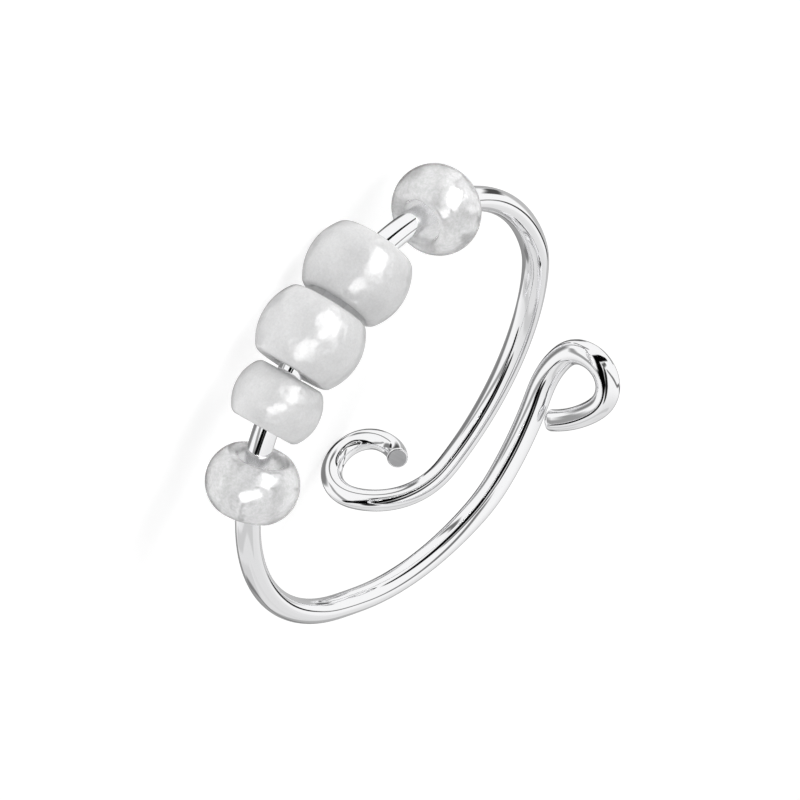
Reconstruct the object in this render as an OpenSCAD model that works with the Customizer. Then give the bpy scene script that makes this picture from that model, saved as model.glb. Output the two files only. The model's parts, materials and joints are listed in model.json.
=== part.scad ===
// Open spinner ring: one polished round wire with five loose beads. Its two ends
// pass each other on the side away from the beads, and each ends in a curl.
// The band is worked out around its own axis, with the beads towards +X and the
// opening towards -X, and is then laid on its side as the ring rests by itself,
// with the beads towards -Y. The origin is under the middle of what is laid down.

/* [Band] */
// Inside diameter of the band, halfway between its long and its short way
ring_bore = 17.5; // [16:0.5:21]
// Diameter of the round wire
wire_d = 1; // [0.8:0.1:1.2]
// How far the band is pulled out of round, at the beads and at the opening
oval = 0.4; // [0:0.1:0.5]

/* [Opening] */
// Clear gap between the two ends where they pass each other
bypass_gap = 1.2; // [0.8:0.1:1.8]
// Radius of the curls, to the middle of the wire
curl_r = 1.35; // [1.2:0.05:1.8]
// How far the lower curl's cut end turns in towards the finger
end_rise = 0.65; // [0:0.05:0.8]

/* [Pearl beads] */
// Diameter of the two large pearl beads
pearl_d = 4; // [3:0.1:4.2]
// Length of a large pearl bead along the wire
pearl_len = 2.9; // [2.2:0.05:3.2]
// Diameter of the small pearl bead
small_d = 3.45; // [2.8:0.05:4]
// Length of the small pearl bead along the wire
small_len = 2.3; // [1.8:0.05:2.8]

/* [Clear beads] */
// Diameter of the two clear end beads
clear_d = 3.55; // [2.8:0.05:4]
// Length of a clear bead along the wire
clear_len = 2.3; // [1.8:0.05:2.8]

/* [Bead places] */
// Least gap between pearl beads that lie against each other
bead_gap = 0.06; // [0.04:0.01:0.2]
// Clearance of the wire, all round, at the tightest place of a bead's hole
wire_play = 0.08; // [0.05:0.01:0.2]
// Distance of the middle pearl bead from the middle of the band, along the wire
mid_offset = 1.47; // [0:0.1:3]
// Bare wire between the upper clear bead and its neighbour
bare_upper = 2.3; // [0.5:0.1:3]
// Bare wire between the lower clear bead and its neighbour
bare_lower = 1.1; // [0.5:0.1:2]

/* [Hidden] */

// Roundness: sides of the wire, angle a bend turns between rings, and length of
// straight run between rings as a share of the wire's diameter
WIRE_SIDES = 24;
BEND_STEP = 13;
RUN_STEP = 1.2;
$fn = 96;

ring_r = (ring_bore + wire_d) / 2;
wire_r = wire_d / 2;

// Angle at which an end leans aside to pass the other one
lean = atan((bypass_gap + wire_d) / 2 / ring_r);

// One row for each end of the wire, drawn flat and then rolled round the finger.
// Runs are shares of the ring's radius, curl radii are shares of curl_r
FIRST_RUN = 0;    // from the middle of the band to where the end leans aside
LEAN_RUN = 1;     // length of the leaning stretch
LEAN_BACK = 2;    // share of the lean that is then taken back
PASS_RUN = 3;     // straight stretch beside the other end
EASE_TURN = 4;    // turn of the wide bend that leads into the curl
CURL_SHARE = 5;   // radius of the curl
CURL_TURN = 6;    // turn of the curl
TAIL_SHARE = 7;   // radius of the last bend
TAIL_TURN = 8;    // turn of the last bend
RISE_SHARE = 9;   // share of end_rise by which the cut end turns inward
LOWER_END = [2.05, 0.82, 0, 0.31, 66, 1.05, 196, 1.3, 43, 1];
UPPER_END = [1.92, 0.73, 1, 0.42, 34, 0.93, 183, 3, 33, 0];
// Radii of the lean's bends and of the wide bend before the curl, as shares of curl_r
LEAN_BEND = 10;
EASE_BEND = 2.7;

// A flat path is a list of rows: straight run, radius of the bend after it, its turn
function path_rows(e) = [
    [e[FIRST_RUN] * ring_r, LEAN_BEND * curl_r, lean],
    [e[LEAN_RUN] * ring_r, LEAN_BEND * curl_r, -e[LEAN_BACK] * lean],
    [e[PASS_RUN] * ring_r, EASE_BEND * curl_r, e[EASE_TURN]],
    [0, e[CURL_SHARE] * curl_r, e[CURL_TURN]],
    [0, e[TAIL_SHARE] * curl_r, e[TAIL_TURN]]
];

// Where the path stands, as [along, aside, heading], after a run and after a bend
function after_run(p, len) = [p[0] + len * cos(p[2]), p[1] + len * sin(p[2]), p[2]];
function after_bend(p, r, turn) =
    let (side = sign(turn) * r, to = p[2] + turn)
    [p[0] + side * (sin(to) - sin(p[2])), p[1] - side * (cos(to) - cos(p[2])), to];

// Stations along a flat path, each [along, aside, share of the tail that is passed]
function trace(rows, i = 0, p = [0, 0, 0]) =
    i == len(rows) ? [] :
    let (
        row = rows[i],
        bend_from = after_run(p, row[0]),
        run_n = ceil(row[0] / (RUN_STEP * wire_d)),
        bend_n = ceil(abs(row[2]) / BEND_STEP),
        tail = i == len(rows) - 1 ? 1 : 0
    )
    concat(
        [for (k = [1:1:run_n]) station(after_run(p, row[0] * k / run_n), 0)],
        [for (k = [1:1:bend_n])
            station(after_bend(bend_from, row[1], row[2] * k / bend_n), tail * k / bend_n)],
        trace(rows, i + 1, after_bend(bend_from, row[1], row[2]))
    );
function station(p, tail_share) = [p[0], p[1], tail_share];

// Distance of the wire from the ring's axis at an angle from the beads' middle
function band_r(a) = ring_r + oval * cos(2 * a);

// A station rolled round the finger. The tail turns inward by rise at its end
function rolled(s, rise) =
    let (a = s[0] / ring_r * 180 / PI, r = band_r(a) - rise * pow(s[2], 2))
    [r * cos(a), r * sin(a), s[1]];

function end_line(e) = [for (s = trace(path_rows(e))) rolled(s, e[RISE_SHARE] * end_rise)];
function turned_over(p) = [p[0], -p[1], -p[2]];
function reversed(list) = [for (i = [len(list) - 1:-1:0]) list[i]];

// Middle line of the whole wire, from the lower curl's cut end to the upper one's
wire_line = concat(
    reversed([for (p = end_line(LOWER_END)) turned_over(p)]),
    [[band_r(0), 0, 0]],
    end_line(UPPER_END)
);

function unit(v) = v / norm(v);
function tangent(line, i) = unit(line[min(i + 1, len(line) - 1)] - line[max(i - 1, 0)]);

// A tube along a line of points, closed by flat cut ends
module tube(line, r, sides) {
    rings = len(line);
    points = [for (i = [0:rings - 1])
        let (
            t = tangent(line, i),
            out = [line[i][0], line[i][1], 0],
            n = unit(out - (out * t) * t),
            b = cross(t, n)
        )
        for (k = [0:sides - 1])
            line[i] + r * (cos(360 * k / sides) * n + sin(360 * k / sides) * b)
    ];
    walls = [for (i = [0:rings - 2]) for (k = [0:sides - 1])
        let (next = (k + 1) % sides)
        for (half = [0, 1])
            half == 0 ? [i * sides + k, (i + 1) * sides + k, (i + 1) * sides + next]
                      : [i * sides + k, (i + 1) * sides + next, i * sides + next]
    ];
    first_cut = [for (k = [0:sides - 1]) k];
    last_cut = [for (k = [sides - 1:-1:0]) (rings - 1) * sides + k];
    polyhedron(points = points, faces = concat(walls, [first_cut], [last_cut]), convexity = 8);
}

// Radius of the bend that the oval band makes at the beads
bead_bend_r = pow(ring_r + oval, 2) / (ring_r + 5 * oval);

// How far the wire bows out of straight inside a bead
function bow(len) = pow(len, 2) / (8 * bead_bend_r);
// Radius of a bead's hole: it passes the bowed wire, also where the bead leans on it
function hole_r(len, settle) =
    wire_r + wire_play + bow(len) / 2 + len / 2 * tan(settle);

// Angle round the ring that lies a distance along the oval wire, found in a few rounds
function place_angle(at, a = 0, rounds = 5) =
    rounds == 0 ? a :
    place_angle(at, (at - oval / 2 * sin(2 * a)) / ring_r * 180 / PI, rounds - 1);

// Direction of the wire there, as an angle in the ring's plane
function wire_angle(at) =
    let (a = place_angle(at), slope = -2 * oval * sin(2 * a))
    atan2(slope * sin(a) + band_r(a) * cos(a), slope * cos(a) - band_r(a) * sin(a));

// Where a bead hangs when the wire's bow lies evenly in its hole
function hung(at, len) =
    let (a = place_angle(at), r = band_r(a) - bow(len) / 2) [r * cos(a), r * sin(a), 0];

// Bead forms: radius of the end faces as a share of the bead's, and how far an end
// face is domed, as a share of the bead's length
FACE_SHARE = 0.72;
CLEAR_FACE_SHARE = 0.66;
DOME_SHARE = 0.03;

// Share of the wire's bend between touching pearl beads that their loose holes take up
SETTLE = 0.75;
// Angle by which the loose clear beads lean on the wire, towards the pearl beads' line
CLEAR_LEAN = 12;

// The middle pearl bead keeps to the wire, and its neighbours turn towards it
mid_at = -mid_offset;
function settled(at) = SETTLE * (wire_angle(mid_at) - wire_angle(at));

// Neighbours touch towards the finger, at this share of the end faces' radius
MEET_SHARE = 0.8;
function meet_point(at, len, turn, way, r) =
    let (
        a = wire_angle(at) + turn,
        half = len / 2 - DOME_SHARE * len * pow(MEET_SHARE, 2)
    )
    hung(at, len) + way * half * [cos(a), sin(a), 0] - r * [sin(a), -cos(a), 0];

// Place of the neighbour on one side (way is 1 or -1) that just clears the middle bead
function touching(len, d, way, at = mid_at, rounds = 8) =
    rounds == 0 ? at :
    let (
        r = MEET_SHARE * FACE_SHARE * d / 2,
        turn = settled(at),
        apart = meet_point(at, len, turn, -way, r) - meet_point(mid_at, pearl_len, 0, way, r),
        a = (wire_angle(mid_at) + wire_angle(at) + turn) / 2,
        gap = way * apart * [cos(a), sin(a), 0]
    )
    touching(len, d, way, at - way * (gap - bead_gap), rounds - 1);

// Places of the other beads along the wire, counted from the middle of the band
upper_at = touching(pearl_len, pearl_d, -1);
small_at = touching(small_len, small_d, 1);
clear_upper_at = upper_at - (pearl_len + clear_len) / 2 - bare_upper;
clear_lower_at = small_at + (small_len + clear_len) / 2 + bare_lower;

// One row for each bead
PLACE = 0;      // distance along the wire
LENGTH = 1;     // length along the wire
DIAMETER = 2;
FACE = 3;       // radius of the end faces as a share of the bead's radius
SETTLED = 4;    // angle by which the bead leans on the wire
CLEAR_UPPER = [clear_upper_at, clear_len, clear_d, CLEAR_FACE_SHARE, CLEAR_LEAN];
PEARL_UPPER = [upper_at, pearl_len, pearl_d, FACE_SHARE, settled(upper_at)];
PEARL_MIDDLE = [mid_at, pearl_len, pearl_d, FACE_SHARE, 0];
SMALL_PEARL = [small_at, small_len, small_d, FACE_SHARE, settled(small_at)];
CLEAR_LOWER = [clear_lower_at, clear_len, clear_d, CLEAR_FACE_SHARE, -CLEAR_LEAN];

function bead_axis_angle(bead) = wire_angle(bead[PLACE]) + bead[SETTLED];
function bead_axis(bead) = let (a = bead_axis_angle(bead)) [cos(a), sin(a), 0];
function bead_hole_r(bead) = hole_r(bead[LENGTH], abs(bead[SETTLED]));
function bead_centre(bead) = hung(bead[PLACE], bead[LENGTH]);

// Radius of the arc that bulges from one end face to the other
function barrel_r(bead) =
    let (rise = bead[DIAMETER] / 2 * (1 - bead[FACE]), half = bead[LENGTH] / 2)
    (pow(rise, 2) + pow(half, 2)) / (2 * rise);

// A bead round Z: a barrel with gently domed end faces, drilled for the wire, with
// the edge of the hole broken by a short cone
module bead_form(bead) {
    r = bead[DIAMETER] / 2;
    half = bead[LENGTH] / 2;
    bulge_r = barrel_r(bead);
    face_r = bead[FACE] * r;
    dome = DOME_SHARE * bead[LENGTH];
    dome_r = (pow(face_r, 2) + pow(dome, 2)) / (2 * dome);
    bore_r = bead_hole_r(bead);
    mouth = (face_r - bore_r) / 4;
    difference() {
        rotate_extrude()
            intersection() {
                union() {
                    translate([r - bulge_r, 0])
                        circle(bulge_r);
                    translate([0, -half])
                        square([face_r, 2 * half]);
                }
                translate([0, half - dome_r])
                    circle(dome_r);
                translate([0, dome_r - half])
                    circle(dome_r);
                translate([0, -half])
                    square([r, 2 * half]);
            }
        translate([0, 0, -bead[LENGTH]])
            cylinder(r = bore_r, h = 2 * bead[LENGTH]);
        for (end = [0, 180])
            rotate([end, 0, 0])
                translate([0, 0, half - mouth])
                    cylinder(r1 = bore_r, r2 = bore_r + 2 * mouth, h = 2 * mouth);
    }
}

// The three feet that the ring rests on: the lower curl, the upper and the middle
// pearl bead. Each foot is the lowest point of its piece, looking down along -up
function wire_foot(up) =
    let (
        heights = [for (p = wire_line) p * up],
        i = search(min(heights), heights)[0]
    )
    wire_line[i] - wire_r * up;
function bead_foot(bead, up) =
    let (axis = bead_axis(bead), across = unit(up - (up * axis) * axis), r = barrel_r(bead))
    bead_centre(bead) - (bead[DIAMETER] / 2 - r) * across - r * up;
function feet_normal(up) =
    let (
        curl = wire_foot(up),
        n = cross(bead_foot(PEARL_UPPER, up) - curl, bead_foot(PEARL_MIDDLE, up) - curl)
    )
    unit(n[2] < 0 ? -n : n);
// Upward direction at rest, found again from the feet that the last one gives
function settled_up(up, rounds) = rounds == 0 ? up : settled_up(feet_normal(up), rounds - 1);
rest_up = settled_up([0, 0, 1], 5);

// Directions of the laid ring in the band's own frame: beads to the front
rest_right = unit(cross([-1, 0, 0], rest_up));
rest_back = cross(rest_up, rest_right);
function laid(p) = [p * rest_right, p * rest_back, p * rest_up];

// Reach of the laid ring along a direction of the band's frame
BEADS = [CLEAR_UPPER, PEARL_UPPER, PEARL_MIDDLE, SMALL_PEARL, CLEAR_LOWER];
function wire_reach(dir) =
    max([for (i = [0:len(wire_line) - 1])
        wire_line[i] * dir + wire_r * sqrt(max(0, 1 - pow(tangent(wire_line, i) * dir, 2)))]);
function reach(dir) = max(wire_reach(dir), max([for (b = BEADS) -(bead_foot(b, -dir) * -dir)]));
floor_z = wire_foot(rest_up) * rest_up;
origin = [
    (reach(rest_right) - reach(-rest_right)) / 2,
    (reach(rest_back) - reach(-rest_back)) / 2,
    floor_z
];

module lay_down() {
    translate(-origin)
        multmatrix([
            [rest_right[0], rest_right[1], rest_right[2], 0],
            [rest_back[0], rest_back[1], rest_back[2], 0],
            [rest_up[0], rest_up[1], rest_up[2], 0]
        ])
            children();
}

// A bead on the wire, its own Z along its hole
module strung(bead) {
    lay_down()
        translate(bead_centre(bead))
            rotate([0, 90, bead_axis_angle(bead)])
                bead_form(bead);
}

// The whole band with both curls is one bent piece of wire
module wire_band() {
    color("silver")
        lay_down()
            tube(wire_line, wire_r, WIRE_SIDES);
}

module clear_bead_upper() {
    color([0.9, 0.9, 0.91, 0.6])
        strung(CLEAR_UPPER);
}

module pearl_bead_upper() {
    color("whitesmoke")
        strung(PEARL_UPPER);
}

module pearl_bead_middle() {
    color("whitesmoke")
        strung(PEARL_MIDDLE);
}

module small_pearl_bead() {
    color("whitesmoke")
        strung(SMALL_PEARL);
}

module clear_bead_lower() {
    color([0.9, 0.9, 0.91, 0.6])
        strung(CLEAR_LOWER);
}

wire_band();
clear_bead_upper();
pearl_bead_upper();
pearl_bead_middle();
small_pearl_bead();
clear_bead_lower();
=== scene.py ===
# %% [markdown]
# # An open spinner ring with five loose beads
# The real ring is one piece of polished round wire. Its two ends pass each other and
# end in curls, and five small glass beads spin on the front. The solids of that ring
# are loaded here as a fixed frame, so every new surface goes exactly where the solids
# are.

# %% Load the frame
import json
import bpy
import numpy as np
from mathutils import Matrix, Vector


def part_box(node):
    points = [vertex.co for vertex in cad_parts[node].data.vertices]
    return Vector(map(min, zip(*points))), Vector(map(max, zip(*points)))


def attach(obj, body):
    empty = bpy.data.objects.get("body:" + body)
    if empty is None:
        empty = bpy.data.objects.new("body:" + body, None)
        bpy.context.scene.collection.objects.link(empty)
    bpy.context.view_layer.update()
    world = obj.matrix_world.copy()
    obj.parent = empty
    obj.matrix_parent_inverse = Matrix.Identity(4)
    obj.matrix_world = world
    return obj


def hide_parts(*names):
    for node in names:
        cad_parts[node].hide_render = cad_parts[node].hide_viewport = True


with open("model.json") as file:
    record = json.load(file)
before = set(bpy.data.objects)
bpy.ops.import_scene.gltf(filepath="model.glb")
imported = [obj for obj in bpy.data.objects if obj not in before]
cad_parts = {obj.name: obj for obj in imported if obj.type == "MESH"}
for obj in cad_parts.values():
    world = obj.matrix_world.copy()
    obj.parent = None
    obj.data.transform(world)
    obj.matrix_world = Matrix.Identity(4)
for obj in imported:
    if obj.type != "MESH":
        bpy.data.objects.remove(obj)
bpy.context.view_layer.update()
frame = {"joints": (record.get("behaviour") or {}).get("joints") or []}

MM = 0.001

# %% [markdown]
# ## Meshes from grids of points
# All new pieces are surfaces of two parameters: a grid of points, row after row, with
# four-cornered faces between neighbours. One helper joins the grid up, and another
# turns points and faces into a mesh. Working on whole arrays is quick, and the same
# helper then serves the wire, the beads and the studio.

# %% Grid helpers
def unit(v):
    """The vector, or each vector of a list, divided by its own length."""
    return v / np.linalg.norm(v, axis=-1, keepdims=True)


def grid_faces(rows, columns, wrap_rows=False):
    """Face (i, j) joins points (i, j), (i+1, j), (i+1, j+1) and (i, j+1). The columns
    always run round and meet, and the rows do so where wrap_rows is true."""
    i = np.arange(rows if wrap_rows else rows - 1)[:, None]
    j = np.arange(columns)[None, :]
    here, below = i * columns, (i + 1) % rows * columns
    beside = (j + 1) % columns
    corners = (here + j, below + j, below + beside, here + beside)
    return np.stack(np.broadcast_arrays(*corners), axis=-1).reshape(-1, 4)


def outward(points, *face_lists):
    """The faces as one list, turned round if the volume they enclose comes out negative.
    The volume is the sum of p0 . (p1 x p2) / 6 over triangles cut from the faces."""
    points, volume = np.asarray(points), 0.0
    for faces in face_lists:
        for k in range(1, faces.shape[1] - 1):
            p0, p1, p2 = (points[faces[:, c]] for c in (0, k, k + 1))
            volume += float((p0 * np.cross(p1, p2)).sum()) / 6
    return [f[:: 1 if volume > 0 else -1] for faces in face_lists for f in faces.tolist()]


def mesh_piece(name, points, faces):
    """An object at the origin with these points in metres, smoothly shaded."""
    mesh = bpy.data.meshes.new(name)
    mesh.from_pydata(np.asarray(points).tolist(), [], faces)
    mesh.shade_smooth()
    mesh.update()
    piece = bpy.data.objects.new(name, mesh)
    bpy.context.scene.collection.objects.link(piece)
    print(name, "has", len(mesh.vertices), "points and", len(mesh.polygons), "faces")
    return piece

# %% [markdown]
# ## The ring's own directions
# The ring lies tilted on one curl and two beads, so its plane isn't the floor's. Every
# bead turns on the wire, and all their holes lie in the ring's plane. The cross product
# of two of those hinge axes is therefore the ring's axis, with no number typed in.

# %% Read the axes from the hinges
hinge = {j["child"]: j for j in frame["joints"]}
axis_of = {bead: unit(np.array(j["axis"])) for bead, j in hinge.items()}
place_of = {bead: np.array(j["pos_m"]) for bead, j in hinge.items()}

ring_up = unit(np.cross(axis_of["clear_bead_upper"], axis_of["clear_bead_lower"]))
ring_up = ring_up * np.sign(ring_up[2])
to_beads = unit(np.cross([1, 0, 0], ring_up))
to_side = np.cross(ring_up, to_beads)
ring_frame = np.stack([to_beads, to_side, ring_up])
print("the ring leans", round(float(np.degrees(np.arccos(ring_up[2]))), 2), "degrees")

# %% [markdown]
# ## The wire's middle line
# A jeweller bends each end flat on a peg board and then rolls the whole piece round a
# mandrel. The same two steps are worked out here. A flat path is a chain of straight
# runs and arcs, and rolling it turns distance along it into an angle round the finger.
# The arcs of real wire run into each other, because wire springs, so the line is
# averaged over a short length. That also keeps the reflections free of kinks.

# %% Bend the path and roll it
RING_BORE = 17.5    # inside diameter
WIRE_D = 1.0        # wire diameter
OVAL = 0.4          # how far the band is pulled out of round
BYPASS_GAP = 1.2    # clear gap between the two ends
CURL_R = 1.35       # curl radius, to the middle of the wire
END_RISE = 0.65     # how far the lower cut end turns inward
PATH_STEP = 0.04    # distance between worked-out points
KEEP_EVERY = 3      # how many worked-out points make one ring of the wire's skin
SPRING_LEN = 0.7    # length over which neighbouring bends run together

ring_r = (RING_BORE + WIRE_D) / 2
lean = np.degrees(np.arctan((BYPASS_GAP + WIRE_D) / 2 / ring_r))

# Straight run, radius of the bend after it and its turn in degrees
LOWER_PATH = [(2.05 * ring_r, 10 * CURL_R, lean), (0.82 * ring_r, 10 * CURL_R, 0),
              (0.31 * ring_r, 2.7 * CURL_R, 66), (0, 1.05 * CURL_R, 196),
              (0, 1.3 * CURL_R, 43)]
UPPER_PATH = [(1.92 * ring_r, 10 * CURL_R, lean), (0.73 * ring_r, 10 * CURL_R, -lean),
              (0.42 * ring_r, 2.7 * CURL_R, 34), (0, 0.93 * CURL_R, 183),
              (0, 3 * CURL_R, 33)]


def flat_path(rows):
    """Heading and distance decide everything: the heading stays the same on a run and
    grows evenly on an arc, and the place is the running sum of step times heading."""
    headings, last, h = [], [], 0.0
    for number, (run, radius, turn) in enumerate(rows):
        arc = abs(np.radians(turn)) * radius
        s = np.arange(0, run + arc, PATH_STEP) + PATH_STEP / 2
        share = np.clip((s - run) / max(arc, 1e-9), 0, 1)
        headings.append(h + turn * share)
        last.append(share * (number == len(rows) - 1))
        h += turn
    angle = np.radians(np.concatenate(headings))
    steps = PATH_STEP * np.stack([np.cos(angle), np.sin(angle)], axis=1)
    return np.cumsum(steps, axis=0), np.concatenate(last)


def rolled(rows, rise):
    """Distance along becomes the angle a = x / R, at the radius R + OVAL cos 2a, and
    distance aside stays the height. The last bend sinks by rise times its share squared."""
    flat, tail = flat_path(rows)
    a = flat[:, 0] / ring_r
    r = ring_r + OVAL * np.cos(2 * a) - rise * tail ** 2
    return np.stack([r * np.cos(a), r * np.sin(a), flat[:, 1]], axis=1)


def averaged(line, length):
    """Each point becomes the mean of those within half of length. The ends are
    continued straight first, so that they stay where they are."""
    half = int(length / PATH_STEP / 2)
    k = np.arange(1, half + 1)[:, None]
    before = line[0] - k[::-1] * (line[1] - line[0])
    after = line[-1] + k * (line[-1] - line[-2])
    padded = np.concatenate([before, line, after])
    sums = np.cumsum(np.concatenate([np.zeros((1, 3)), padded]), axis=0)
    width = 2 * half + 1
    return (sums[width:] - sums[:-width]) / width


lower = rolled(LOWER_PATH, END_RISE) * [1, -1, -1]
upper = rolled(UPPER_PATH, 0)
wire_line = averaged(np.concatenate([lower[::-1], upper]), SPRING_LEN)
wire_line = wire_line[np.r_[0:len(wire_line) - 1:KEEP_EVERY, len(wire_line) - 1]]
wire_length = np.linalg.norm(np.diff(wire_line, axis=0), axis=1).sum()
print("the wire is", round(float(wire_length), 1), "mm long")

# %% [markdown]
# ## The wire's skin
# A circle carried along the middle line makes the wire. At each end the circle shrinks:
# first round a small edge, then straight in over the flat face that the cutter left.
# The lower end keeps a faint lip on one side, where the cutter came out. Each point
# also stores where it is round and along the wire, so that marks of drawing and
# polishing can follow it.

# %% Carry a circle along the line
WIRE_SIDES = 80
EDGE_R = 0.07       # rounding of the lower cut end
SOFT_EDGE_R = 0.2   # rounding of the upper end, which was tumbled smooth
EDGE_RINGS = 7      # rings of points round such an edge
LIP = 0.02          # height of the cutter's lip
LIP_REACH = 0.15    # how far the lip runs along the wire
LIP_SIDE = 2.2      # where the lip is round the wire, in radians
RIM_SHARE = 0.8     # share of the wire's radius inside which the end face has no lip
END_SPACE = 1.5     # roundings between an end and the first ring of the plain wire

# Rings on a flat end face, as shares of its radius
FACE_RINGS = (0.93, 0.8, 0.6, 0.35, 0.12)

# Thickness of the wire as a share of WIRE_D, at shares of its length from the lower end
THICKNESS = [(0, 0.87), (0.08, 0.91), (0.14, 0.92), (0.21, 1.05), (0.27, 1.1), (0.34, 0.97),
             (0.62, 0.95), (0.7, 1.0), (0.79, 1.02), (0.86, 1.1), (0.9, 1.09), (0.94, 1.02),
             (0.965, 1.0), (0.985, 0.92), (1, 0.9)]
PLACES = np.linspace(-0.02, 1.02, 261)  # where that is worked out, a little past the ends
NEIGHBOURS = 5                          # places on either side that smooth it


def end_profile(edge_r):
    """Pairs of (distance in from the end, radius): a quarter circle of edge_r and then
    shares of what is left, so that the flat face has rings of its own."""
    q = np.radians(np.linspace(0, 90, EDGE_RINGS))
    edge = np.stack([edge_r * (1 - np.sin(q)), WIRE_D / 2 - edge_r * (1 - np.cos(q))], axis=1)
    inner = edge[-1, 1] * np.array(FACE_RINGS)
    face = np.stack([np.zeros(len(FACE_RINGS)), inner], axis=1)
    return np.concatenate([edge, face])


def thickness_at(share):
    """The wire's thickness at shares of its length: the marks joined by straight lines,
    and each place then averaged with its neighbours."""
    marks, shares = np.array(THICKNESS).T
    rough = np.pad(np.interp(PLACES, marks, shares), NEIGHBOURS, "edge")
    window = 2 * NEIGHBOURS + 1
    return np.interp(share, PLACES, np.convolve(rough, np.ones(window) / window, "valid"))


def wire_skin(line):
    """Point = middle + r (cos f out + sin f side), where out points away from the ring's
    axis, square to the wire, and side completes the corner."""
    t = unit(np.gradient(line, axis=0))
    caps = [end_profile(EDGE_R), end_profile(SOFT_EDGE_R)]
    reach = [cap[0, 0] for cap in caps]
    s = np.concatenate([[0], np.cumsum(np.linalg.norm(np.diff(line, axis=0), axis=1))])
    body = (s > END_SPACE * reach[0]) & (s < s[-1] - END_SPACE * reach[1])
    first, last = caps[0][::-1], caps[1]
    middle = np.concatenate([
        line[0] + t[0] * first[:, :1], line[body], line[-1] - t[-1] * last[:, :1]])
    tangent = np.concatenate([
        np.repeat(t[:1], len(first), axis=0), t[body], np.repeat(t[-1:], len(last), axis=0)])
    radius = np.concatenate([first[:, 1], np.full(body.sum(), WIRE_D / 2), last[:, 1]])
    along = np.concatenate([first[:, 0], s[body], s[-1] - last[:, 0]])
    radius = radius * thickness_at(along / s[-1])
    out = middle * [1, 1, 0]
    out = unit(out - (out * tangent).sum(1, keepdims=True) * tangent)
    side = np.cross(tangent, out)
    f = 2 * np.pi * np.arange(WIRE_SIDES) / WIRE_SIDES
    lip = 1 + LIP / radius[:, None] * np.exp(-(along[:, None] / LIP_REACH) ** 2) * (
        np.clip(np.cos(f - LIP_SIDE), 0, 1) ** 2 * (radius > RIM_SHARE * WIRE_D / 2)[:, None])
    around = np.cos(f)[None, :, None] * out[:, None] + np.sin(f)[None, :, None] * side[:, None]
    points = middle[:, None] + (radius[:, None] * lip)[..., None] * around
    way = np.stack(np.broadcast_arrays(np.cos(f), np.sin(f), along[:, None] / WIRE_D), axis=-1)
    return points, way, middle[[0, -1]]


skin, way, tips = wire_skin(wire_line)
rings = len(skin)
ring_points = np.concatenate([skin.reshape(-1, 3), tips])


def into_frame(points, node):
    """Turns points from the ring's own frame into the row frame, in metres, and moves
    them so that the middle of their box is the middle of the node's box."""
    turned = points @ ring_frame * MM
    low, high = (np.array(corner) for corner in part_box(node))
    return turned + (low + high) / 2 - (turned.min(0) + turned.max(0)) / 2


placed = into_frame(ring_points, "wire_band")
j = np.arange(WIRE_SIDES)
beside = (j + 1) % WIRE_SIDES
tip_corner = np.full(WIRE_SIDES, len(placed) - 2)
last_ring = (rings - 1) * WIRE_SIDES
first_fan = np.stack([j, tip_corner, beside], axis=1)[:, ::-1]
last_fan = np.stack([last_ring + j, last_ring + beside, tip_corner + 1], axis=1)[:, ::-1]
wire = mesh_piece("wire_band_polished", placed,
                  outward(placed, grid_faces(rings, WIRE_SIDES), first_fan, last_fan))
way_points = np.concatenate([way.reshape(-1, 3), way[[0, -1], 0] * [0, 0, 1]])
wire.data.attributes.new("wire_way", "FLOAT_VECTOR", "POINT").data.foreach_set(
    "vector", way_points.astype(np.float32).ravel())
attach(wire, "wire")
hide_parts("wire_band")

# %% [markdown]
# ## Materials out of nodes
# Every finish here is Blender's main shader with a few nodes before it: noises for what
# varies, and bumps for what is too fine to be modelled. Small helpers add a node, a noise
# or a change of range, so each material says only what is special about it.

# %% Node helpers
def new_material(name):
    """A material with its node list and its main shader."""
    material = bpy.data.materials.new(name)
    material.use_nodes = True
    return material, material.node_tree, material.node_tree.nodes["Principled BSDF"]


def add_node(tree, kind, links=(), **values):
    """A node of that kind. values set its properties or sockets by name, with _ for a
    space in a socket's name, and links join (output, input name) pairs to it."""
    node = tree.nodes.new("ShaderNode" + kind)
    for key, value in values.items():
        if hasattr(node, key):
            setattr(node, key, value)
        else:
            node.inputs[key.replace("_", " ")].default_value = value
    for source, target in links:
        tree.links.new(source, node.inputs[target])
    return node


def noise_on(tree, vector, scale, detail=2.0, roughness=0.5):
    """A noise of about scale features to each unit of the vector, from 0 to 1."""
    noise = add_node(tree, "TexNoise", [(vector, "Vector")],
                     Scale=scale, Detail=detail, Roughness=roughness)
    return noise.outputs["Fac"]


def spread(tree, value, low, high, from_low=0.3, from_high=0.7):
    """The value, taken from between two marks to between two others."""
    node = add_node(tree, "MapRange", [(value, "Value")])
    for number, amount in enumerate((from_low, from_high, low, high), start=1):
        node.inputs[number].default_value = amount
    return node.outputs["Result"]


def set_sockets(shader, values):
    """Gives sockets of the shader, by name, values that are the same all over."""
    for socket, value in values.items():
        shader.inputs[socket].default_value = value

# %% [markdown]
# ## Polished silver
# A polished metal has almost no colour of its own and shows the room. What tells it from
# chrome-coloured plastic is small: faint lines from the drawing die, which run along
# the wire, and a polish that is a little duller here and there. The lines come from a
# noise that is squeezed round the wire and stretched along it.

# %% Silver for the wire
DRAWN = (9, 9, 0.35)        # how the noise is squeezed round the wire and stretched along
POLISH = (0.03, 0.07)       # roughness where the polish is best and where it is dullest


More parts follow.
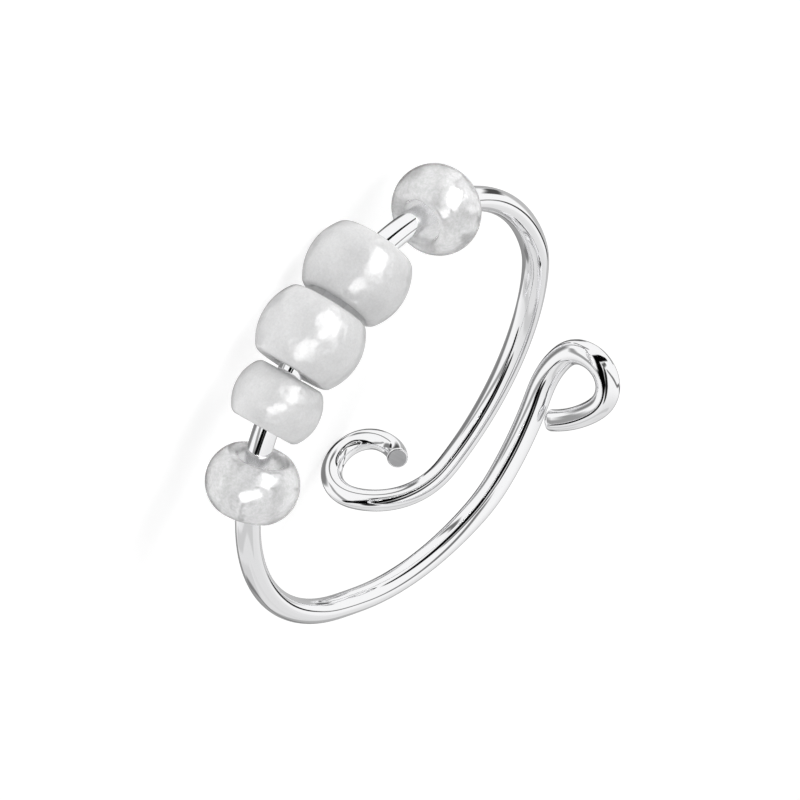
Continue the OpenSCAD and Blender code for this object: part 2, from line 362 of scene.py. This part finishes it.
def silver():
    """Bright metal: fine lines along the wire in its bump, and cloudy polish."""
    material, tree, shader = new_material("polished_silver_wire")
    way_node = add_node(tree, "Attribute", attribute_name="wire_way")
    squeezed = add_node(tree, "Mapping", [(way_node.outputs["Vector"], "Vector")], Scale=DRAWN)
    lines = noise_on(tree, squeezed.outputs["Vector"], 2.2, 3)
    clouds = noise_on(tree, way_node.outputs["Vector"], 0.9, 2)
    bump = add_node(tree, "Bump", [(lines, "Height")], Strength=0.01, Distance=0.00002)
    tree.links.new(bump.outputs["Normal"], shader.inputs["Normal"])
    tree.links.new(spread(tree, clouds, *POLISH), shader.inputs["Roughness"])
    set_sockets(shader, {"Metallic": 1.0, "Base Color": (0.96, 0.96, 0.97, 1)})
    return material


wire.data.materials.append(silver())
print("wire material", wire.data.materials[0].name)

# %% [markdown]
# ## The sawn face
# The lower end's face was cut and never polished. It is matte grey, with the parallel
# marks of the blade. It is the same piece of metal, so it is a second material on the
# faces of the first cap, and not a piece of its own.

# %% Matte metal on the cut
SAW_MARKS = (9000, 900, 900)    # scale of the noise across the marks and along them
SAW_TURN = (0.6, 0.3, 0.5)      # which way they run on the face, in radians


def cut_face():
    """Grey rough metal with straight tool marks a few hundredths of a millimetre apart."""
    material, tree, shader = new_material("cut_wire_face")
    place = add_node(tree, "TexCoord").outputs["Object"]
    squeezed = add_node(tree, "Mapping", [(place, "Vector")], Rotation=SAW_TURN, Scale=SAW_MARKS)
    marks = noise_on(tree, squeezed.outputs["Vector"], 1.6, 3)
    bump = add_node(tree, "Bump", [(marks, "Height")], Strength=0.25, Distance=0.00002)
    tree.links.new(bump.outputs["Normal"], shader.inputs["Normal"])
    tree.links.new(spread(tree, marks, 0.5, 0.7), shader.inputs["Roughness"])
    set_sockets(shader, {"Metallic": 0.8, "Base Color": (0.64, 0.64, 0.65, 1)})
    return material


wire.data.materials.append(cut_face())
is_cut = np.zeros(len(wire.data.polygons), np.int32)
is_cut[:len(FACE_RINGS) * WIRE_SIDES] = 1
is_cut[(rings - 1) * WIRE_SIDES:rings * WIRE_SIDES] = 1
wire.data.polygons.foreach_set("material_index", is_cut)
print("faces of the cut end", int(is_cut.sum()))

# %% [markdown]
# ## Bead shapes
# Small glass beads are drawn as a tube, cut, and tumbled hot until their edges melt
# round. So a bead is one closed outline turned round its hole: a bulging side, two
# gently domed faces and the bore. The outline is worked out with sharp corners and is
# then averaged along itself, which melts the corners as the furnace does. No two are
# quite round, so each has a slow wave of its own that dies out towards the bore.

# %% Turn a melted outline round the hole
DOME_SHARE = 0.03   # how far an end face is domed, as a share of the length
SIDE_POINTS, FACE_POINTS, BORE_POINTS = 60, 30, 40   # of the sharp outline
OUTLINE_POINTS = 150                                 # of the melted outline
ROUND_POINTS = 160                                   # round the hole
# Length, diameter, end face as a share of the diameter, radius of the hole and length
# over which the corners are melted, in millimetres
BEAD_SIZES = {
    "clear_bead_upper": (2.3, 3.55, 0.66, 0.864, 0.3),
    "pearl_bead_upper": (2.9, 4.0, 0.72, 1.041, 0.6),
    "pearl_bead_middle": (2.9, 4.0, 0.72, 0.643, 0.6),
    "small_pearl_bead": (2.3, 3.45, 0.72, 0.905, 0.6),
    "clear_bead_lower": (2.3, 3.55, 0.66, 0.864, 0.3),
}


def bead_outline(length, diameter, face_share, hole_r, melt):
    """Rows of (distance from the axis, place along it). The side is the arc
    rho = r - b + sqrt(b^2 - z^2), the face z = h - dome (rho / face)^2, and the mouth of
    the hole a short cone. Averaging over melt rounds every corner."""
    r, h = diameter / 2, length / 2
    face = face_share * r
    b = ((r - face) ** 2 + h ** 2) / (2 * (r - face))
    mouth = (face - hole_r) / 4
    z = np.linspace(-h, h, SIDE_POINTS)
    side = np.stack([r - b + np.sqrt(b ** 2 - z ** 2), z], axis=1)
    rho = np.linspace(face, hole_r + mouth, FACE_POINTS)[1:]
    cap = np.stack([rho, h - DOME_SHARE * length * (rho / face) ** 2], axis=1)
    bore_end = cap[-1, 1] - mouth
    bore_z = np.linspace(bore_end, -bore_end, BORE_POINTS)
    bore = np.stack([np.full(BORE_POINTS, hole_r), bore_z], axis=1)
    loop = np.concatenate([side, cap, bore, (cap * [1, -1])[::-1]])
    step = np.linalg.norm(np.diff(loop, axis=0, append=loop[:1]), axis=1)
    s = np.concatenate([[0], np.cumsum(step)])
    closed = np.concatenate([loop, loop[:1]])
    even = np.linspace(0, s[-1], OUTLINE_POINTS, endpoint=False)
    even_loop = np.stack([np.interp(even, s, closed[:, k]) for k in (0, 1)], axis=1)
    half = max(1, int(melt / 2 / (s[-1] / OUTLINE_POINTS)))
    return sum(np.roll(even_loop, k, axis=0) for k in range(-half, half + 1)) / (2 * half + 1)


def turned_bead(node, wobble, phase):
    """Point = centre + z a + rho (cos f e + sin f (a x e)), where a is the hole's axis.
    Away from the bore rho is scaled by 1 + wobble times two slow waves in f and z. The
    waves are lowered by their greatest sum, so they only ever take glass away."""
    length, diameter, face_share, hole_r, melt = BEAD_SIZES[node]
    outline = bead_outline(length, diameter, face_share, hole_r, melt)
    rho, z = outline[:, :1], outline[:, 1:]
    f = (2 * np.pi * np.arange(ROUND_POINTS) / ROUND_POINTS)[None, :]
    outwards = np.clip((rho - hole_r) / (diameter / 2 - hole_r), 0, 1)
    waves = np.cos(2 * f + phase) + 0.6 * np.cos(3 * f - 2 * phase + 1.4 * z) - 1.6
    rho = rho * (1 + wobble * outwards * waves)
    a = axis_of[node]
    e = unit(ring_up - (ring_up @ a) * a)
    around = np.cos(f)[..., None] * e + np.sin(f)[..., None] * np.cross(a, e)
    points = place_of[node] + MM * (z[..., None] * a + rho[..., None] * around)
    flat = points.reshape(-1, 3)
    faces = grid_faces(*points.shape[:2], wrap_rows=True)
    bead = mesh_piece(node + "_glass", flat, outward(flat, faces))
    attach(bead, node)
    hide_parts(node)
    return bead


pearls = [turned_bead("pearl_bead_upper", 0.006, 0.4),
          turned_bead("pearl_bead_middle", 0.006, 1.9),
          turned_bead("small_pearl_bead", 0.008, 3.1)]
clears = [turned_bead("clear_bead_upper", 0.006, 2.2),
          turned_bead("clear_bead_lower", 0.006, 0.9)]

# %% [markdown]
# ## Pearl glass
# Pearl beads are milky glass under a thin fired lustre. Light goes in a little way and
# comes out softly, so the shading is flat, and the lustre gives blurry highlights that
# break up on small lumps. The milk is subsurface scattering, the lustre a clear coat,
# and the lumps are a bump of two sizes. The lustre was fired on by itself, so it has
# ripples of its own on the Coat Normal socket, and they break up its highlights. Fine
# specks are multiplied into the milk's colour, because even a smooth bead isn't one
# flat tone, and each bead has its own tone, because no two rods of glass are alike.

# %% Pearl material
# How light the milk of each bead is, against the middle one's
MILK_TONES = {"pearl_bead_upper": 0.95, "pearl_bead_middle": 1.0, "small_pearl_bead": 1.02}
MILK_DARK, MILK_LIGHT = (0.73, 0.73, 0.734), (0.81, 0.81, 0.814)
SPECKS = (0.94, 1.04)           # how much the specks darken and lighten the milk
CLOUDS, GRAIN = 900, 11000      # clouds and specks of pearl glass to a metre
RIPPLES = 1500                  # ripples of the lustre to a metre


def blend(tree, factor, dark, light):
    """A colour between two others, as far from the dark one as the factor says."""
    mix = add_node(tree, "Mix", data_type="RGBA")
    tree.links.new(factor, mix.inputs["Factor"])
    mix.inputs["A"].default_value = (*dark, 1)
    mix.inputs["B"].default_value = (*light, 1)
    return mix.outputs["Result"]


def add_lumps(tree, shader, coarse, fine, ripples):
    """Two bumps on the shader, the fine one over the coarse one, and another on its
    clear coat alone. Each of the three is (height, strength, depth in metres)."""
    lumps = add_node(tree, "Bump", [(coarse[0], "Height")],
                     Strength=coarse[1], Distance=coarse[2])
    grain = add_node(tree, "Bump", [(fine[0], "Height"), (lumps.outputs["Normal"], "Normal")],
                     Strength=fine[1], Distance=fine[2])
    tree.links.new(grain.outputs["Normal"], shader.inputs["Normal"])
    coat = add_node(tree, "Bump", [(ripples[0], "Height")],
                    Strength=ripples[1], Distance=ripples[2])
    tree.links.new(coat.outputs["Normal"], shader.inputs["Coat Normal"])


def pearl_glass(node):
    """Milky glass: cloudy colour, soft lumps and a rippled clear coat."""
    material, tree, shader = new_material(node + "_lustre")
    place = add_node(tree, "TexCoord").outputs["Object"]
    clouds = noise_on(tree, place, CLOUDS, 3)
    grain = noise_on(tree, place, GRAIN, 2, 0.7)
    dark, light = np.multiply((MILK_DARK, MILK_LIGHT), MILK_TONES[node]).tolist()
    milk = blend(tree, spread(tree, clouds, 0, 1), dark, light)
    specks = add_node(tree, "Mix", [(milk, "A")], data_type="RGBA", blend_type="MULTIPLY")
    specks.inputs["Factor"].default_value = 1.0
    tree.links.new(spread(tree, grain, *SPECKS), specks.inputs["B"])
    tree.links.new(specks.outputs["Result"], shader.inputs["Base Color"])
    add_lumps(tree, shader, (clouds, 1.0, 0.0003), (grain, 0.2, 0.00003),
              (noise_on(tree, place, RIPPLES, 0), 1.0, 0.0001))
    set_sockets(shader, {
        "Roughness": 0.35, "Subsurface Weight": 1.0, "Subsurface Scale": 0.002,
        "Subsurface Radius": (1, 1, 1), "Coat Weight": 1.0, "Coat Roughness": 0.2, "IOR": 1.5})
    return material


for bead, node in zip(pearls, MILK_TONES):
    bead.data.materials.append(pearl_glass(node))
    print(bead.name, "has the tone", MILK_TONES[node])

# %% [markdown]
# ## Clear glass
# The end beads are clearer. Their glass holds tiny bubbles and streaks, and the rim of
# the hole shows through it, and the wire as a bright column. Clear glass alone would
# look like a lens. So two thirds of the light are let through, and the rest is
# scattered on the way, which gives the pale, finely mottled body of the photograph.

# %% Clear material
STREAKS, MOTTLES = 1500, 8000   # streaks and mottles of clear glass to a metre
THROUGH = 0.68                  # share of the light that is let through


def clear_glass():
    """Slightly milky clear glass with fine mottling."""
    material, tree, shader = new_material("clear_glass_mottled")
    place = add_node(tree, "TexCoord").outputs["Object"]
    mottling = noise_on(tree, place, MOTTLES, 3, 0.7)
    streaks = noise_on(tree, place, STREAKS, 2)
    colour = blend(tree, spread(tree, mottling, 0, 1, 0.35, 0.65), (0.8, 0.8, 0.805), (1, 1, 1))
    tree.links.new(colour, shader.inputs["Base Color"])
    add_lumps(tree, shader, (streaks, 1.0, 0.00006), (mottling, 0.1, 0.00006),
              (noise_on(tree, place, RIPPLES, 0), 1.0, 0.00005))
    set_sockets(shader, {
        "Roughness": 0.02, "Transmission Weight": THROUGH, "Subsurface Weight": 1.0,
        "Subsurface Scale": 0.0006, "Subsurface Radius": (1, 1, 1), "Coat Weight": 1.0,
        "Coat Roughness": 0.1, "IOR": 1.5})
    return material


clear_material = clear_glass()
for bead in clears:
    bead.data.materials.append(clear_material)
    print(bead.name, "is of", clear_material.name)

# %% [markdown]
# ## Camera
# The camera looks at the lying ring from in front of the beads, from a little above the
# floor, and is rolled so that the ring appears as in the photograph. Its place, aim, roll
# and lens come from fitting the ring's curves to the photograph's.

# %% Place the camera
CAMERA_PLACE = np.array([-13.66, -128.35, 34.58]) * MM
CAMERA_AIM = np.array([-0.28, 0.33, 3.86]) * MM
CAMERA_ROLL = -122.08   # degrees that the picture's top leans, clockwise
LENS, SENSOR = 154.17, 36   # focal length and sensor width, in millimetres

forward = unit(CAMERA_AIM - CAMERA_PLACE)
level_up = unit(np.array([0, 0, 1]) - forward[2] * forward)
level_right = np.cross(forward, level_up)
roll = np.radians(CAMERA_ROLL)
picture_up = np.cos(roll) * level_up + np.sin(roll) * level_right
picture_right = np.cross(forward, picture_up)

from mathutils import Matrix


def set_up(name, data, place, right, back):
    """A camera or lamp at place. Its own x axis lies along right and its z axis along
    back, and it looks or shines the other way."""
    thing = bpy.data.objects.new(name, data)
    bpy.context.scene.collection.objects.link(thing)
    turn = np.stack([right, np.cross(back, right), back], axis=1)
    thing.matrix_world = Matrix.Translation(place.tolist()) @ Matrix(turn.tolist()).to_4x4()
    return thing


camera_data = bpy.data.cameras.new("camera")
camera_data.lens = LENS
camera_data.sensor_width = SENSOR
camera_data.clip_start, camera_data.clip_end = 0.005, 20
camera = set_up("camera", camera_data, CAMERA_PLACE, picture_right, -forward)
bpy.context.scene.camera = camera
print("the camera stands", round(float(np.linalg.norm(CAMERA_PLACE)) / MM), "mm away")

# %% [markdown]
# ## The light tent
# Jewellery is photographed in a white tent, because polished wire shows everything
# round it. What makes the wire read as metal is what isn't white: the dark slit that
# the camera looks through and a few black strips. The tent is a large sphere that only
# reflections see. Its brightness is painted on a chart with the camera's direction in
# the middle, where distance is the angle away from the camera in degrees, right and
# down as in the picture. Each strip is a bent line of a given half width. The wall
# behind the ring is darker too: it draws the thin dark line along the wire's edges.

# %% Paint the tent
# Strip: points (right, down, half width) in degrees, softness of its edge, and the
# shade of grey that it has in the picture, from 0 for black to 1 for white
STRIPS = {
    "camera slit": ([(60, -53, 3), (39, -47, 7), (26, -42, 8), (13, -34, 8), (-6, -23, 7),
                     (-8, -8, 7), (-13, 8, 8), (-27, 32, 8), (-42, 40, 5), (-56, 54, 4)],
                    6, 0.03),
    "below the slit": ([(12, 0, 2), (8, 12, 3), (-5, 34, 4), (-20, 50, 5)], 6, 0.15),
    "right of the slit": ([(36, -26, 1), (14, -10, 2)], 7, 0.35),
    "upper left pole": ([(-12, -62, 1), (-28, -72, 2), (-42, -92, 2)], 6, 0.45),
    "upper left flag": ([(-60, -100, 2), (-80, -98, 8), (-100, -98, 13), (-118, -98, 13)],
                        8, 0.18),
    "left wall": ([(-97, -80, 16), (-104, -50, 18), (-117, -22, 14), (-134, 0, 8)], 22, 0.5),
    "far left wall": ([(-122, -122, 6), (-83, -134, 6), (-47, -138, 5), (-10, -136, 4),
                       (20, -144, 6)], 16, 0.34),
    "left card": ([(-68, -30, 1), (-68, -4, 2), (-52, 40, 4)], 10, 0.6),
    "black card": ([(141, 32, 2), (138, 21, 7), (132, 14, 4), (127, 8, 1)], 5, 0.06),
    "right edge": ([(90, -112, 3), (104, -90, 3), (114, -62, 3)], 6, 0.3),
    "thin right card": ([(30, -2, 1), (51, 5, 2), (68, 11, 3), (79, 16, 3), (94, 22, 2),
                         (110, 18, 1.5), (127, 9, 1.5)], 6, 0.45),
    "lower right wall": ([(38, 92, 6), (72, 82, 8), (95, 84, 8), (118, 70, 8)], 16, 0.9),
    "lower right card": ([(129, 79, 5), (110, 105, 5), (60, 122, 5), (6, 108, 3)], 12, 0.86),
    "lower left band": ([(43, 89, 3), (-10, 82, 2), (-61, 86, 4), (-90, 78, 4), (-111, 66, 4)],
                        10, 0.8),
    "lower left wall": ([(-20, 118, 8), (-60, 116, 10), (-112, 100, 10)], 14, 0.82),
    "lower left line": ([(-86, 112, 3), (-34, 130, 2), (-11, 152, 3), (30, 158, 4)], 9, 0.5),
}
# The wall behind the ring: from this angle away, softness, middle shade, and how much
# darker it gets towards this place on the chart, in degrees clockwise from the right
BACK_WALL = (143, 7, 0.65, 0.1, 180)
WHITE, LOW_WHITE = 0.98, 0.88   # shade of the cloth above and well below the camera
LOW_FROM, LOW_TO = 30, 90       # degrees below the camera between which it changes
EYE_POWER = 2.2                 # light is the shade that the eye sees, to this power


def smooth(t):
    """From 0 to 1 with level ends: 3 t^2 - 2 t^3, with t first kept between 0 and 1."""
    t = np.clip(t, 0, 1)
    return t * t * (3 - 2 * t)


def strip_cover(chart, points, softness):
    """How fully a strip covers each place of the chart: 1 within its half width, 0 beyond
    softness more, and smooth between."""
    points = np.array(points, float)
    outside = np.full(chart.shape[:-1], 1e9)
    for start, end in zip(points[:-1], points[1:]):
        run = end[:2] - start[:2]
        t = np.clip(((chart - start[:2]) @ run) / max(run @ run, 1e-9), 0, 1)
        distance = np.linalg.norm(chart - start[:2] - t[..., None] * run, axis=-1)
        outside = np.minimum(outside, distance - start[2] - t * (end[2] - start[2]))
    return smooth(1 - outside / softness)


def tent_light(chart):
    """The darkest of all strips and the wall behind the ring, over a white that greys a
    little downwards. The wall's shade is its middle one less darker times the cosine of
    the way round."""
    low = smooth((chart[..., 1] - LOW_FROM) / (LOW_TO - LOW_FROM))
    shade = WHITE - (WHITE - LOW_WHITE) * low
    for points, softness, grey in STRIPS.values():
        shade = np.minimum(shade, 1 - (1 - grey) * strip_cover(chart, points, softness))
    start, softness, grey, darker, darkest_at = BACK_WALL
    away = np.linalg.norm(chart, axis=-1)
    turned = np.arctan2(chart[..., 1], chart[..., 0]) - np.radians(darkest_at)
    grey = grey - darker * np.cos(turned)
    shade = np.minimum(shade, grey + (1 - grey) * smooth((start - away) / softness))
    return shade ** EYE_POWER


# %% [markdown]
# ## Hanging the tent
# A tent's cloth is lit from outside, so it is the cloth that glows. Here each point of a
# sphere stores the light that the chart gives for its direction, and an emission shader
# reads it. That needs no picture file, and the strips stay where they are when the
# camera moves. Nothing but reflections sees the sphere, so the strips can be drawn for
# the wire without a thought for the shadows.

# %% Hang the tent
TENT_RADIUS, TENT_GRID = 2.0, (240, 400)    # metres, and rows and columns of points
cloth_material = bpy.data.materials.new("glowing_cloth")
cloth_material.use_nodes = True
tree = cloth_material.node_tree
tree.nodes.clear()
painted = add_node(tree, "Attribute", attribute_name="cloth_light")
cloth = add_node(tree, "Emission", [(painted.outputs["Fac"], "Strength")], Color=(1, 1, 1, 1))
add_node(tree, "OutputMaterial", [(cloth.outputs["Emission"], "Surface")])


def hide_from(thing, senses):
    """Keeps an object out of these kinds of light path."""
    for sense in senses:
        setattr(thing, "visible_" + sense, False)


def glowing_sphere(name, radius, grid, light_of, hidden_from):
    """A sphere round the ring whose points glow as light_of says for their place on the
    chart. Point = radius (sin a (cos s right - sin s up) - cos a forward), with a from
    nearly 0 to nearly 180 degrees away from the camera and s once round."""
    away = np.radians(np.linspace(0.1, 179.9, grid[0]))[:, None, None]
    spin = np.radians(np.linspace(0, 360, grid[1], endpoint=False))[None, :, None]
    aside = np.cos(spin) * picture_right - np.sin(spin) * picture_up
    points = radius * (np.sin(away) * aside - np.cos(away) * forward)
    chart = np.degrees(away) * np.concatenate([np.cos(spin), np.sin(spin)], axis=-1)
    sphere = mesh_piece(name, points.reshape(-1, 3), grid_faces(*grid).tolist())
    sphere.data.attributes.new("cloth_light", "FLOAT", "POINT").data.foreach_set(
        "value", light_of(chart).astype(np.float32).ravel())
    sphere.data.materials.append(cloth_material)
    hide_from(sphere, hidden_from)


glowing_sphere("light_tent", TENT_RADIUS, TENT_GRID, tent_light,
               ("camera", "diffuse", "transmission", "volume_scatter", "shadow"))

# %% [markdown]
# ## White round the glass
# Clear glass shows what is behind and beside it. The sky here is dim, so that the milk
# of the beads keeps its grey, and against it the clear beads would look smoky. So a
# plain white ball hangs inside the tent, and only light that comes through glass sees
# it.

# %% Hang the white ball
BALL_RADIUS, BALL_GRID, BALL_LIGHT = 1.9, (24, 48), 1.12
glowing_sphere("white_ball", BALL_RADIUS, BALL_GRID,
               lambda chart: np.full(chart.shape[:-1], BALL_LIGHT),
               ("camera", "diffuse", "glossy", "volume_scatter", "shadow"))

# %% [markdown]
# ## Floor and sky
# The floor is a plain pale sheet under an even white sky. It glows a little, as a light
# table does, so it reaches white in the picture before the beads lose their grey.

# %% Lay the floor under an even sky
SKY = 0.65          # strength of the sky's light
FLOOR_REACH = 3     # metres from the ring to the floor's edges
floor_points = FLOOR_REACH * np.array([(-1, -1, 0), (1, -1, 0), (1, 1, 0), (-1, 1, 0)], float)
floor = mesh_piece("floor_sheet", floor_points, [[0, 1, 2, 3]])
floor_material, tree, shader = new_material("pale_floor")
set_sockets(shader, {
    "Base Color": (0.6, 0.6, 0.6, 1), "Roughness": 0.9, "Specular IOR Level": 0.1,
    "Emission Color": (1, 1, 1, 1), "Emission Strength": 0.58})
floor.data.materials.append(floor_material)
hide_from(floor, ["glossy"])

world = bpy.data.worlds.new("white_sky")
world.use_nodes = True
set_sockets(world.node_tree.nodes["Background"], {"Color": (1, 1, 1, 1), "Strength": SKY})
bpy.context.scene.world = world

# %% [markdown]
# ## One soft lamp
# An even sky gives shadows without a direction. One broad lamp from the left gives them
# one. It is wide for its distance, so their edges stay soft, and reflections don't see
# it, because the wire shows the tent alone.

# %% Hang the lamp
LIGHT_DISTANCE = 0.4                                # metres from the ring
LAMP_SIZE, LAMP_POWER = 0.25, 0.35                  # metres across and watts
LAMP_WAY = unit(np.array([-0.75, -0.15, 0.65]))     # from the ring to the lamp


def area_lamp(name, shape, sides, power, way, right):
    """A flat lamp that shines at the ring from the direction way, one side along right."""
    data = bpy.data.lights.new(name, "AREA")
    data.shape, data.energy = shape, power
    data.size, data.size_y = sides
    print(name, "of", power, "watts")
    return set_up(name, data, LIGHT_DISTANCE * way, right, way)


lamp = area_lamp("soft_lamp", "DISK", (LAMP_SIZE, LAMP_SIZE), LAMP_POWER,
                 LAMP_WAY, unit(np.cross([0, 0, 1], LAMP_WAY)))
hide_from(lamp, ["glossy"])

# %% [markdown]
# ## A window for the beads
# Each bead of the photograph has two bright patches, from a window with two panes that
# the wire doesn't show. A lamp can be kept for some objects alone: both panes light
# only the beads, and only as reflections, so they leave the wire and the floor as they
# are.

# %% Open the window
# Panes: degrees right of and below the camera as seen from the ring, both sides in
# metres, turn of the long side in degrees and power in watts
PANES = [(42, -22, 0.42, 0.24, -50, 2.2), (-3, 25, 0.34, 0.17, -25, 1.2)]
bead_group = bpy.data.collections.new("beads_by_the_window")
for bead in pearls + clears:
    bead_group.objects.link(bead)
for number, (right, below, long_side, short_side, pane_turn, power) in enumerate(PANES, start=1):
    pane_away, pane_turn = np.radians([np.hypot(right, below), pane_turn])
    pane_aside = unit(right * picture_right - below * picture_up)
    pane_way = np.sin(pane_away) * pane_aside - np.cos(pane_away) * forward
    slant = np.cos(pane_turn) * picture_right - np.sin(pane_turn) * picture_up
    pane = area_lamp("window_pane_" + str(number), "RECTANGLE", (long_side, short_side), power,
                     pane_way, unit(slant - (slant @ pane_way) * pane_way))
    hide_from(pane, ("diffuse", "transmission", "volume_scatter"))
    pane.light_linking.receiver_collection = bead_group

# %% [markdown]
# ## Plain picture colours
# The photograph shows goods on white, without the look of film. The Standard view does
# the same: white stays white, and every grey stays as it was worked out.

# %% Plain picture colours
view = bpy.context.scene.view_settings
view.view_transform = "Standard"
view.look = "None"
